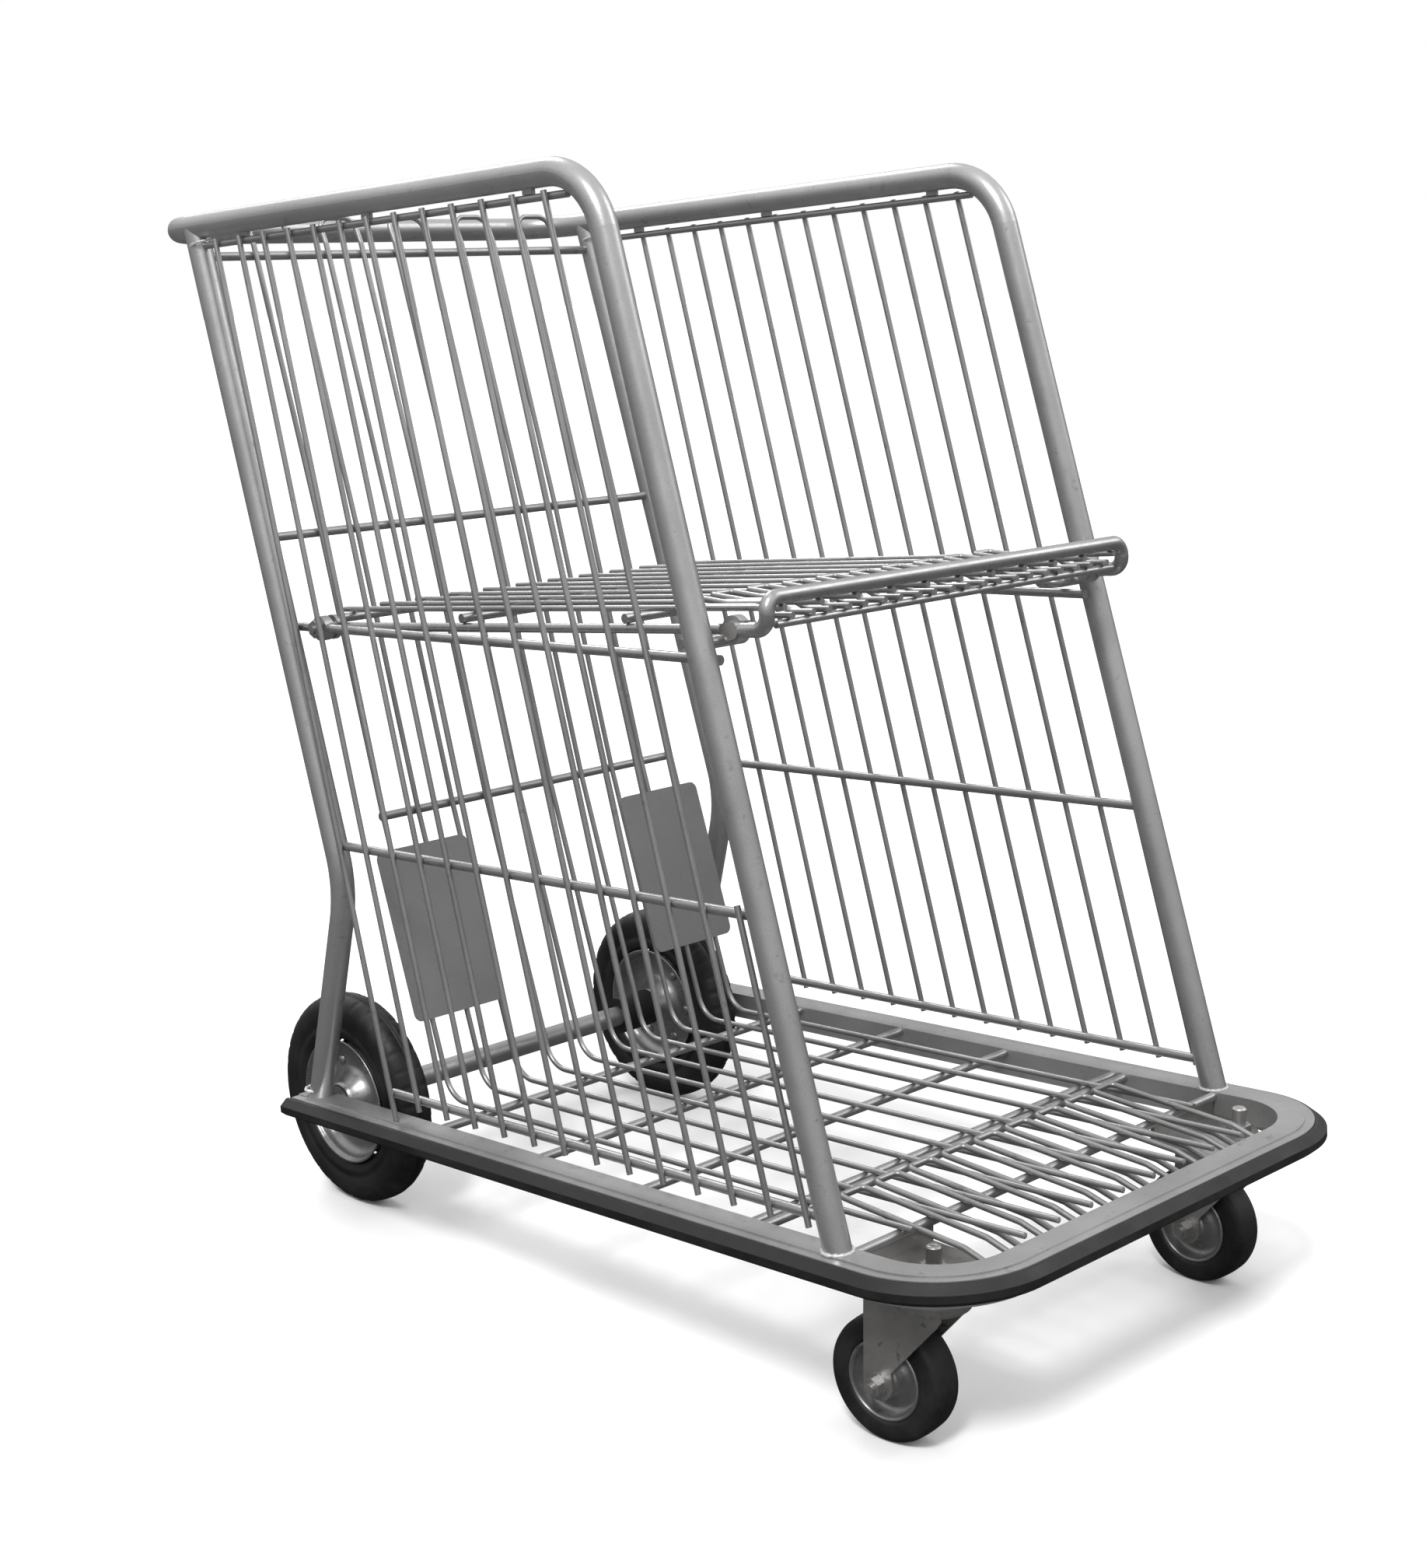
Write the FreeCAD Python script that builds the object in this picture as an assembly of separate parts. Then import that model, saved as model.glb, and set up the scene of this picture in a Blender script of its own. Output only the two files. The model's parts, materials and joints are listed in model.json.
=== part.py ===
import FreeCAD, Part
import math
import os

# Luggage trolley. Millimetres, +Z up, floor at z = 0, x = 0 on the middle plane, y = 0 halfway
# between the bumper's nose and the handle. The front (caster end) faces -Y, the handle is at +Y.
# "left" is the +X side, on the left hand of a person who stands behind the handle.
# The welded basket is laid out in a deck frame: its origin is midway between the feet of the
# front uprights on top of the base channel, y runs back along the channel and z is square to it.

V = FreeCAD.Vector
SIDES = {"left": 1, "right": -1}

# ---- overall sizes ----
track = 480.0              # between the front uprights, centre to centre
deck_rise = 55.0           # rear axle up to the channel top at the front uprights
deck_tilt = 3.6            # degrees, the deck falls towards the rear
rail_height = 796.0        # channel top to the centre of the top rail
rail_front = 199.0         # front upright foot back to the front corner of the top rail
handle_back = 806.0        # front upright foot back to the handle's centre line
side_lean = 7.0            # each side leans inwards by this at rail height

# ---- main tube and rear uprights ----
tube_r = 11.0
corner_r = 62.0            # bend radius of the top front corners, on the centre line
handle_corner_r = 58.0
foot_ahead = 4.0           # rear upright's foot ahead of the axle
rear_knee_y = 590.0
rear_knee_z = 204.0
rear_top_y = 738.0
knee_r = 110.0
saddle_gap = 0.1           # filled by the weld between the rear upright and the rail

# ---- base channel and bumper ----
channel_depth = 30.0
channel_height = 25.0
channel_wall = 3.0
lip_width = 8.0
lip_step = 1.2
lower_flange = 22.0
web_front = -98.0          # deck y of the front web's inner face
inner_corner_r = 58.0
channel_tail = 17.0        # channel behind the axle
bumper_bulge = 10.0
bumper_overrun = 5.0
seat_gap = 0.2

# ---- rods and wires ----
rod_r = 4.0
wire_r = 2.5
side_wire_count = 13
side_top_first = 246.0
side_top_pitch = 37.7
side_low_first = 58.0
side_low_pitch = 39.5
side_wire_top = 782.0
side_wire_low = 15.0
mid_rod_z = 243.5
low_rod_z = 23.0
low_rod_rear = 541.0
strip_r = 3.0
tab_length = 11.0
tab_thickness = 4.0

grid_wires = 10
floor_bend_y = 537.0
floor_bend_r = 26.0
floor_rod_ys = (489.0, 354.0, 224.0, 100.0, 88.0, -7.0)
back_low_z = 257.0
back_mid_z = 517.0
back_top_z = 769.0
back_low_y = 611.0
back_low_spare = 2.0       # lowest back rod ends short of the outer wires
loop_reach = 10.0
loop_rise = 24.0
finger_half = 13.0
finger_back_y = 60.0
finger_slope = 0.11
finger_bend_y = -64.0
finger_drop = 13.5

back_plate_w = 103.0
back_plate_inset = 40.0    # plate edge in from the upright's centre
plate_low_z = 75.0
plate_high_z = 228.0
plate_thickness = 2.0
plate_corner = 8.0

# ---- rear wheels and axle ----
rear_wheel_r = 100.0
rear_wheel_w = 36.0
wheel_web_gap = 14.0       # tyre to the channel web
wheel_basket_gap = 24.0    # tyre to the bend of the floor wires
axle_r = 10.0
running_gap = 0.05
rim_r = 61.0
rim_sheet = 2.0
hub_r = 16.0
hub_half = 20.0
rivet_circle = 38.0
rivet_count = 6
sleeve_r = 18.5
sleeve_length = 42.0
side_gap = 1.0             # end play between parts that turn and parts that don't

# ---- front casters, laid out square to the floor ----
caster_inset = 43.6        # swivel centre in from the front upright
caster_y = -55.0
caster_wheel_r = 50.0
caster_wheel_w = 30.0
caster_trail = 35.0
caster_turn = 6.0          # degrees each caster is turned at rest
caster_rim_r = 32.0
plate_below = 20.0         # corner plate below the channel top
caster_plate_t = 4.0
plate_width = 87.0         # from the channel's web towards the middle
stud_r = 6.0
stud_above = 26.0          # stud above its plate
nut_height = 10.0
nut_r = 10.4
washer_t = 2.5
race_r = 25.0
race_t = 4.0
head_r = 28.0
head_t = 4.0
ball_gap = 1.2
pin_r = 5.0
fork_clear = 4.0           # wheel to fork leg
fork_sheet = 3.0
bolt_r = 4.0

# ---- folding shelf, laid out level and then pitched about its pivot ----
shelf_pivot_y = 613.0
shelf_pivot_z = 436.0
shelf_pitch = 1.8          # degrees, the shelf rises towards the front
arm_inset = 30.0           # shelf arm in from the upright's centre
rest_inset = 19.0
rest_drop = 6.0            # fall of the rest rod from the pivot to the front
boss_half = 4.2
stop_reach = 49.0
stop_width = 22.0
eye_y = -518.0             # front rivet from the pivot
bar_y = -553.0             # front bar from the pivot
bar_z = 23.0
bar_r = 6.0
eye_r = 11.0
eye_t = 4.0
shelf_wires_n = 11
shelf_wire_edge = 11.0     # outermost wire to the arm
shelf_rear_y = -6.0
shelf_rod_ys = (-18.0, -192.0, -397.0)
front_rod_drop = 12.0       # thin front rod below the shelf wires
hairpin_half = 11.0
hairpin_length = 124.0


# ---- worked out from the sizes ----
deck_height = rear_wheel_r + deck_rise
axle_y = floor_bend_y + wheel_basket_gap + rear_wheel_r
rear_foot = axle_y - foot_ahead
channel_rear = axle_y + channel_tail
rear_wheel_x = track / 2.0 - tube_r - wheel_web_gap - rear_wheel_w / 2.0
grid_pitch = track / (grid_wires + 2)
back_low_half = (grid_wires - 1) * grid_pitch / 2.0 - back_low_spare
plate_outer = track / 2.0 - back_plate_inset
plate_inner = plate_outer - back_plate_w
caster_x = track / 2.0 - caster_inset
caster_plate_top = deck_height - plate_below
stud_top = caster_plate_top + stud_above
fork_inner = caster_wheel_w / 2.0 + fork_clear
arm_x = track / 2.0 - arm_inset
rest_x = track / 2.0 - rest_inset
shelf_wire_pitch = 2.0 * (arm_x - shelf_wire_edge) / (shelf_wires_n - 1)
tilt = math.radians(deck_tilt)
nose_y = (web_front - channel_depth - bumper_bulge) * math.cos(tilt) - 20.0 * math.sin(tilt)
tail_y = handle_back * math.cos(tilt) + rail_height * math.sin(tilt) + tube_r
middle_y = (nose_y + tail_y) / 2.0
swivel_y = caster_y - middle_y


# ------------------------------------------------------------------ helpers
def rod(p, q, radius):
    """A round bar from p to q."""
    axis = V(*q) - V(*p)
    return Part.makeCylinder(radius, axis.Length, V(*p), axis)


def bent_path(points, radii):
    """Straight runs through the points, with a tangent arc at each inner one."""
    pts = [V(*p) for p in points]
    edges = []
    start = pts[0]
    for i in range(1, len(pts) - 1):
        into = (pts[i] - pts[i - 1]).normalize()
        out = (pts[i + 1] - pts[i]).normalize()
        half = into.getAngle(out) / 2.0
        reach = radii[i - 1] * math.tan(half)
        a = pts[i] - into * reach
        b = pts[i] + out * reach
        mid_way = (out - into).normalize()
        mid = pts[i] + mid_way * (radii[i - 1] / math.cos(half) - radii[i - 1])
        if (a - start).Length > 1e-6:
            edges.append(Part.LineSegment(start, a).toShape())
        edges.append(Part.Arc(a, mid, b).toShape())
        start = b
    if (pts[-1] - start).Length > 1e-6:
        edges.append(Part.LineSegment(start, pts[-1]).toShape())
    return Part.Wire(edges)


def bent_bar(points, radii, radius):
    """A round bar bent along the points. One radius may stand for all the bends."""
    if not isinstance(radii, (list, tuple)):
        radii = [radii] * (len(points) - 2)
    path = bent_path(points, radii)
    first = V(*points[1]) - V(*points[0])
    ring = Part.Wire(Part.makeCircle(radius, V(*points[0]), first))
    return path.makePipeShell([ring], True, False)


def polygon_face(points):
    pts = [V(*p) for p in points]
    return Part.Face(Part.makePolygon(pts + [pts[0]]))


def hexagon(across_corners_r, height, base, axis):
    """A hexagonal prism that starts at base and grows along axis."""
    prism = polygon_face([(across_corners_r * math.cos(math.radians(60 * k)),
                           across_corners_r * math.sin(math.radians(60 * k)), 0) for k in range(6)])
    prism = prism.extrude(V(0, 0, height))
    prism.Placement = FreeCAD.Placement(V(*base), FreeCAD.Rotation(V(0, 0, 1), V(*axis)))
    return prism


def turned_x(profile, centre):
    """Turn a closed (x, radius) profile about the x axis through centre."""
    solid = polygon_face([(x, r, 0) for x, r in profile]).revolve(V(0, 0, 0), V(1, 0, 0), 360)
    solid.translate(V(*centre))
    return solid


def turned_z(profile, centre):
    """Turn a closed (radius, z) profile about the z axis through centre."""
    solid = polygon_face([(r, 0, z) for r, z in profile]).revolve(V(0, 0, 0), V(0, 0, 1), 360)
    solid.translate(V(*centre))
    return solid


def sheet_band(line, thickness):
    """Close a line of (x, r) points into a band of even thickness on its left side."""
    side = []
    for i, (x, r) in enumerate(line):
        x0, r0 = line[max(i - 1, 0)]
        x1, r1 = line[min(i + 1, len(line) - 1)]
        before = V(x - x0, r - r0, 0) if i else V(x1 - x, r1 - r, 0)
        after = V(x1 - x, r1 - r, 0) if i < len(line) - 1 else before
        na = V(-before.y, before.x, 0).normalize()
        nb = V(-after.y, after.x, 0).normalize()
        mitre = (na + nb).normalize()
        side.append((x + mitre.x * thickness / mitre.dot(na), r + mitre.y * thickness / mitre.dot(na)))
    return list(line) + side[::-1]


def on_floor(shape):
    """Carry a deck-frame shape into the trolley's frame."""
    moved = shape.copy()
    moved.rotate(V(0, 0, 0), V(1, 0, 0), -deck_tilt)
    moved.translate(V(0, -middle_y, deck_height))
    return moved


def floor_point(x, y, z):
    """A deck-frame point in the trolley's frame."""
    back = y * math.cos(tilt) + z * math.sin(tilt) - middle_y
    return (x, back, deck_height - y * math.sin(tilt) + z * math.cos(tilt))


def side_x(z):
    """Distance from the middle plane to the upright's centre at deck height z."""
    return track / 2.0 - side_lean * z / rail_height


def front_y(z):
    """Deck y of the front upright's centre at height z."""
    return rail_front * z / rail_height


def rear_y(z):
    """Deck y of the rear upright's centre at height z, above its knee."""
    slope = (rear_top_y - rear_knee_y) / (rail_height - rear_knee_z)
    return rear_knee_y + slope * (z - rear_knee_z)


def save(name, *solids):
    shape = solids[0] if len(solids) == 1 else Part.makeCompound(solids)
    shape.exportStep("parts/%s.step" % name)


# ------------------------------------------------------------------ frame tubes
def main_tube():
    """Foot, corner, rail, handle, rail, corner, foot: one bent tube."""
    reach = side_x(rail_height)
    below = -20.0
    pts = []
    for s in (1, -1):
        half = [(s * side_x(below), front_y(below), below), (s * reach, rail_front, rail_height),
                (s * reach, handle_back, rail_height)]
        pts += half if s == 1 else half[::-1]
    radii = [corner_r, handle_corner_r, handle_corner_r, corner_r]
    bar = bent_bar(pts, radii, tube_r)
    keep = Part.makeBox(2 * track, 3 * handle_back, 2 * rail_height, V(-track, -handle_back, 0))
    return bar.common(keep)


def rear_upright(s):
    """Foot, knee and a straight run up to the underside of the rail."""
    below = -20.0
    fall = (rear_foot - rear_knee_y) / rear_knee_z
    pts = [(s * side_x(below), rear_foot - fall * below, below),
           (s * side_x(rear_knee_z), rear_knee_y, rear_knee_z),
           (s * side_x(rail_height), rear_top_y, rail_height)]
    bar = bent_bar(pts, knee_r, tube_r)
    keep = Part.makeBox(2 * track, 3 * handle_back, 2 * rail_height, V(-track, -handle_back, 0))
    reach = s * side_x(rail_height)
    saddle = rod((reach, rail_front, rail_height), (reach, handle_back, rail_height), tube_r + saddle_gap)
    return bar.common(keep).cut(saddle)


# ------------------------------------------------------------------ base
def along_base(profile, overrun):
    """Run an (outward, z) profile along the channel: side, corner, front, corner, side."""
    web_x = track / 2.0 - tube_r
    cx = web_x - inner_corner_r
    cy = web_front + inner_corner_r
    solids = []
    for s in (1, -1):
        side = polygon_face([(s * (web_x + n), cy, z) for n, z in profile])
        solids.append(side.extrude(V(0, channel_rear + overrun - cy, 0)))
        turn = polygon_face([(s * (web_x + n), cy, z) for n, z in profile])
        solids.append(turn.revolve(V(s * cx, cy, 0), V(0, 0, 1), -90 * s))
    front = polygon_face([(cx, web_front - n, z) for n, z in profile])
    solids.append(front.extrude(V(-2 * cx, 0, 0)))
    whole = solids[0].fuse(solids[1:])
    return whole.removeSplitter().Solids[0]


def base_channel():
    h, t, d = channel_height, channel_wall, channel_depth
    n = d - lip_width
    profile = [(0, 0), (n, 0), (n, -lip_step), (d, -lip_step), (d, -lip_step - t), (n - t, -lip_step - t),
               (n - t, -t), (t, -t), (t, t - h), (lower_flange, t - h), (lower_flange, -h), (0, -h)]
    return along_base(profile, 0.0)


def bumper_strip():
    h, t, d, g = channel_height, channel_wall, channel_depth, seat_gap
    top = -lip_step - t - g
    low = -h + t + g
    out = d + bumper_bulge
    profile = [(t + g, top), (d + g, top), (d + g, -lip_step - 1.0), (d + 3, -lip_step - 1.0), (out, -8),
               (out, -h + 11), (out - 5, -h + 7), (lower_flange + g, -h + 6), (lower_flange + g, low),
               (t + g, low)]
    strip = along_base(profile, bumper_overrun)
    # the two ends are cut back on the slant behind the channel
    web_x = track / 2.0 - tube_r
    for s in (1, -1):
        end = channel_rear + bumper_overrun
        wedge = polygon_face([(s * (web_x - 1), end - bumper_overrun, 5), (s * (web_x - 1), end + 1, 5),
                              (s * (web_x + out - 8), end + 1, 5)])
        strip = strip.cut(wedge.extrude(V(0, 0, -2 * h)))
    return strip


# ------------------------------------------------------------------ side panels
def side_wires(s):
    """Wires outboard of the rods, slightly fanned; the rearmost stands on the channel."""
    proud = rod_r + wire_r
    wires = []
    for i in range(-1, side_wire_count):
        low_y = side_low_first + side_low_pitch * i
        top_y = side_top_first + side_top_pitch * i
        low_z = 0.0 if i == side_wire_count - 1 else side_wire_low
        high_z = side_wire_top
        if i < 0:
            high_z = mid_rod_z + 8
        ends = []
        for z in (low_z, high_z):
            y = low_y + (top_y - low_y) * z / side_wire_top
            ends.append((s * (side_x(z) + proud), y, z))
        wires.append(rod(ends[0], ends[1], wire_r))
    return wires


def side_rods(s, tubes):
    """The middle rod between the uprights, and the lower rod from the front upright back."""
    middle = rod((s * side_x(mid_rod_z), front_y(mid_rod_z), mid_rod_z),
                 (s * side_x(mid_rod_z), rear_y(mid_rod_z), mid_rod_z), rod_r)
    lower = rod((s * side_x(low_rod_z), front_y(low_rod_z), low_rod_z),
                (s * side_x(low_rod_z), low_rod_rear, low_rod_z), rod_r)
    return [middle.cut(tubes), lower.cut(tubes)]


def top_strip(s, tubes):
    """The thin rod under the rail that carries the tops of the side wires."""
    z = rail_height - tube_r - tab_length + 4
    x = s * (side_x(z) + rod_r - strip_r)
    return rod((x, side_top_first - 22, z), (x, rear_y(z), z), strip_r).cut(tubes)


def strip_tabs(s, rail):
    """Small plates that hold the strip off the underside of the rail."""
    z = rail_height - tube_r - tab_length + 4
    x = s * (side_x(z) + rod_r - strip_r)
    tabs = []
    for share in (0.04, 0.5, 0.9):
        y = side_top_first + share * side_top_pitch * (side_wire_count - 1)
        tab = Part.makeBox(tab_thickness, tab_length, tab_length, V(x - tab_thickness / 2, y, z + strip_r))
        tabs.append(tab.cut(rail))
    return tabs


# ------------------------------------------------------------------ back panel and floor
def grid_x(i):
    return (i - (grid_wires - 1) / 2.0) * grid_pitch


def back_line():
    """(y, z) of the back wires: floor bend, kink at the low rod, middle rod, top rod."""
    proud = rod_r + wire_r
    return [(floor_bend_y, wire_r), (back_low_y - proud, back_low_z),
            (rear_y(back_mid_z) - proud, back_mid_z), (rear_y(back_top_z) - proud, back_top_z)]


def floor_bend():
    """Arc length points where a floor wire leaves the floor and joins the back run."""
    (y0, z0), (y1, z1) = back_line()[:2]
    up = V(0, y1 - y0, z1 - z0).normalize()
    flat = V(0, 1, 0)
    half = flat.getAngle(up) / 2.0
    reach = floor_bend_r * math.tan(half)
    return y0 - reach, (y0 + up.y * reach, z0 + up.z * reach)


def back_wires():
    """Five hairpins: up the back, over the top rod and round."""
    line = back_line()
    lift = 10.0
    top = (line[3][0] + 3, line[3][1] + lift)
    tip = (top[0] + loop_reach, top[1] + loop_rise)
    first = floor_bend()[1]
    pins = []
    for k in range(grid_wires // 2):
        xa, xb = grid_x(2 * k), grid_x(2 * k + 1)
        up = [first, line[1], line[2], top, tip]
        pts = [(xa, y, z) for y, z in up] + [(xb, y, z) for y, z in up[::-1]]
        pins.append(bent_bar(pts, [40, 40, 12, 12, 12, 12, 40, 40], wire_r))
    return pins


def floor_wires():
    """The same wires where they turn forward and run along the floor."""
    flat_end, first = floor_bend()
    wires = []
    for i in range(grid_wires):
        x = grid_x(i)
        outer = i in (0, grid_wires - 1)
        front = -21.0 if outer else web_front + 3
        pts = [(x, front, wire_r), (x, floor_bend_y, wire_r), (x, first[0], first[1])]
        wires.append(bent_bar(pts, floor_bend_r, wire_r))
    return wires


def floor_cross_rods():
    half = track / 2.0 - tube_r
    return [rod((-half, y, -rod_r), (half, y, -rod_r), rod_r) for y in floor_rod_ys]


def floor_fingers():
    """Raised hairpins between the floor wires; their front ends drop to the channel's web."""
    pins = []
    rest = wire_r
    for i in range(grid_wires - 1):
        x = (grid_x(i) + grid_x(i + 1)) / 2.0
        run = floor_rod_ys[-1]
        leg = [(web_front, rest - finger_drop), (finger_bend_y - 22, rest - finger_drop),
               (finger_bend_y, rest + finger_slope * (finger_bend_y - run)),
               (finger_back_y, rest + finger_slope * (finger_back_y - run))]
        pts = [(x - finger_half, y, z) for y, z in leg] + [(x + finger_half, y, z) for y, z in leg[::-1]]
        pins.append(bent_bar(pts, [14, 14, 6, 6, 14, 14], wire_r))
    return pins


def back_cross_rods(tubes):
    """Top and middle rods run between the rear uprights; the low rod only ties the wires."""
    rods = []
    for z in (back_top_z, back_mid_z):
        bar = rod((-side_x(z), rear_y(z), z), (side_x(z), rear_y(z), z), rod_r)
        rods.append(bar.cut(tubes))
    rods.append(rod((-back_low_half, back_low_y, back_low_z), (back_low_half, back_low_y, back_low_z), rod_r))
    return rods


def back_plate(s):
    """A flat plate with rounded corners on the load side of the back wires."""
    (y0, z0), (y1, z1) = back_line()[:2]
    up = V(0, y1 - y0, z1 - z0).normalize()
    normal = V(0, -up.z, up.y)
    length = (plate_high_z - plate_low_z) / up.z
    width = plate_outer - plate_inner
    plate = Part.makeBox(width, length, plate_thickness)
    edges = [e for e in plate.Edges if abs(e.Vertexes[0].Z - e.Vertexes[1].Z) > 0.5 * plate_thickness]
    plate = plate.makeFillet(plate_corner, edges)
    turn = FreeCAD.Rotation(FreeCAD.Matrix(1, 0, 0, 0,
                                           0, up.y, normal.y, 0,
                                           0, up.z, normal.z, 0,
                                           0, 0, 0, 1))
    low_y = y0 + (plate_low_z - z0) * up.y / up.z
    base = V(plate_inner if s > 0 else -plate_outer, low_y, plate_low_z) + normal * wire_r
    plate.Placement = FreeCAD.Placement(base, turn)
    return plate


# ------------------------------------------------------------------ rear wheels
def axle_centre():
    """Deck z of the rear axle, so that the wheels stand on the floor."""
    return (rear_wheel_r - deck_height + axle_y * math.sin(tilt)) / math.cos(tilt)


def axle_tube():
    half = track / 2.0 - tube_r
    z = axle_centre()
    bar = rod((-half, axle_y, z), (half, axle_y, z), axle_r)
    return bar.cut(rod((-half, axle_y, z), (half, axle_y, z), axle_r - 3))


def axle_ring(s, near, far, radius):
    """A ring on the axle between two distances from the middle plane."""
    z = axle_centre()
    ring = rod((s * near, axle_y, z), (s * far, axle_y, z), radius)
    return ring.cut(rod((s * near, axle_y, z), (s * far, axle_y, z), axle_r))


def rear_tyre(c):
    r, h = rear_wheel_r, rear_wheel_w / 2.0
    round_side = [(h * math.cos(a), r - 16 + 16 * math.sin(a)) for a in
                  [math.radians(15 * k) for k in range(0, 7)]]
    right = [(h - 4, rim_r), (h, rim_r + 10)] + round_side
    profile = right + [(-x, y) for x, y in right[::-1]][1:]
    return turned_x(profile, c)


def rear_rim_half(c, out):
    """One pressed disc of the wheel: lip, dish, riveted face and hub cone."""
    h = rear_wheel_w / 2.0
    sheet = rim_sheet
    line = [(h, rim_r - 1), (h - 4, rim_r - sheet - 0.5), (5, rim_r - 6), (0, rim_r - 13), (0, 29),
            (hub_half - 8, 22), (hub_half, hub_r)]
    profile = [(x * out, r) for x, r in sheet_band(line[::-1], -sheet)]
    return turned_x(profile, c)


def rear_rivets(c):
    rivets = []
    for k in range(rivet_count):
        a = 2 * math.pi * k / rivet_count
        x, y, z = c[0], c[1] + rivet_circle * math.cos(a), c[2] + rivet_circle * math.sin(a)
        shank = rod((x - rim_sheet - 2.2, y, z), (x + rim_sheet + 2.2, y, z), 3.5)
        heads = [rod((x + d * rim_sheet, y, z), (x + d * (rim_sheet + 2.2), y, z), 5.0) for d in (1, -1)]
        rivets.append(shank.fuse(heads))
    return rivets


def rear_bush(c):
    h = hub_half + 1
    bore, wall = axle_r + running_gap, hub_r - 1
    return turned_x([(-h, bore), (h, bore), (h, wall), (-h, wall)], c)


# ------------------------------------------------------------------ casters
def caster_plate(s):
    """A floor-level plate in the corner of the channel, its rear edge turned up to the front rod."""
    web_x = track / 2.0 - tube_r
    t = caster_plate_t
    low = caster_plate_top - t
    front = floor_point(0, web_front, 0)[1] + 3
    back = floor_point(0, floor_rod_ys[-1], 0)[1] + 3
    inner, outer = web_x - plate_width, web_x - 1
    corner = inner_corner_r * 0.74
    outline = [(inner, front), (outer - corner, front), (outer, front + corner), (outer, back), (inner, back)]
    plate = polygon_face([(s * x, y, low) for x, y in outline]).extrude(V(0, 0, t))
    rod_low = floor_point(0, floor_rod_ys[-1], -2 * rod_r)[2]
    wall = Part.makeBox(outer - inner, t, rod_low - low, V(inner if s > 0 else -outer, back - t, low))
    hole = rod((s * caster_x, swivel_y, low - 1), (s * caster_x, swivel_y, low + t + 1), stud_r + 0.4)
    return plate.fuse(wall).cut(hole).removeSplitter()


def caster_stud(s):
    """Threaded stud above the plate, and the king pin with its head below."""
    x, y = s * caster_x, swivel_y
    plate_low = caster_plate_top - caster_plate_t
    head_top = plate_low - race_t - ball_gap
    pin_low = head_top - head_t - 1.0
    stud = rod((x, y, plate_low), (x, y, stud_top), stud_r)
    tip = Part.makeCone(stud_r, stud_r - 1.2, 1.2, V(x, y, stud_top))
    pin = rod((x, y, pin_low), (x, y, plate_low), pin_r)
    head = rod((x, y, pin_low - 5), (x, y, pin_low), 9.0)
    return stud.fuse([tip, pin, head]).removeSplitter()


def caster_nut(s):
    x, y = s * caster_x, swivel_y
    base = caster_plate_top + washer_t
    return hexagon(nut_r, nut_height, (x, y, base), (0, 0, 1)).cut(
        rod((x, y, base - 1), (x, y, base + nut_height + 1), stud_r))


def caster_washer(s):
    x, y = s * caster_x, swivel_y
    disc = rod((x, y, caster_plate_top), (x, y, caster_plate_top + washer_t), nut_r + 2.5)
    return disc.cut(rod((x, y, caster_plate_top - 1), (x, y, caster_plate_top + washer_t + 1), stud_r + 0.3))


def top_race(s):
    """The fixed dish that the balls run under."""
    low = caster_plate_top - caster_plate_t - race_t
    profile = [(pin_r, race_t), (pin_r, 0), (race_r - 5, 0), (race_r - 1, 1.2), (race_r, race_t)]
    return turned_z(profile, (s * caster_x, swivel_y, low))


def swivel_balls(s):
    """The ring of balls between the dish and the fork head, as one closed ring."""
    low = caster_plate_top - caster_plate_t - race_t
    profile = [(race_r - 10, -0.15), (race_r - 6, -0.15), (race_r - 6, -ball_gap), (race_r - 10, -ball_gap)]
    return turned_z(profile, (s * caster_x, swivel_y, low))


def caster_fork(s):
    """Round head with a rolled edge, and two legs that reach back to the wheel's axle."""
    top = caster_plate_top - caster_plate_t - race_t - ball_gap
    head = turned_z([(pin_r + running_gap, top), (head_r, top), (head_r, top - head_t - 5),
                     (head_r - 3, top - head_t - 5), (head_r - 3, top - head_t), (pin_r + running_gap,
                      top - head_t)], (0, 0, 0))
    e, axle_z, end_r = caster_trail, caster_wheel_r, 13.0
    low_edge = top - head_t - 8
    legs = []
    for d in (1, -1):
        x0 = fork_inner if d > 0 else -fork_inner - fork_sheet
        side = [(-20, top), (e + end_r, top), (e + end_r, axle_z), (e - end_r, axle_z),
                (e - end_r + 1, axle_z + 12), (-16, low_edge - 6), (-20, low_edge)]
        leg = polygon_face([(x0, y, z) for y, z in side])
        leg = leg.extrude(V(fork_sheet, 0, 0))
        leg = leg.fuse(rod((x0, e, axle_z), (x0 + fork_sheet, e, axle_z), end_r))
        leg = leg.cut(rod((x0 - 1, e, axle_z), (x0 + fork_sheet + 1, e, axle_z), bolt_r))
        legs.append(leg)
    bridge = Part.makeBox(2 * fork_inner, e + end_r - 6, head_t, V(-fork_inner, 6, top - head_t))
    hole = rod((0, 0, top - 20), (0, 0, top + 5), pin_r + running_gap)
    fork = head.fuse(legs + [bridge]).cut(hole).removeSplitter()
    return place_caster(fork, s)


def place_caster(shape, s):
    """Turn a caster part by its rest angle and set it under its stud."""
    moved = shape.copy()
    moved.rotate(V(0, 0, 0), V(0, 0, 1), caster_turn if s < 0 else 1.0)
    moved.translate(V(s * caster_x, swivel_y, 0))
    return moved


def caster_bolt(s):
    e, z = caster_trail, caster_wheel_r
    reach = fork_inner + fork_sheet
    shank = rod((-reach - 12, e, z), (reach, e, z), bolt_r)
    head = hexagon(7.5, 5.5, (reach, e, z), (1, 0, 0))
    return place_caster(shank.fuse(head), s)


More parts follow.
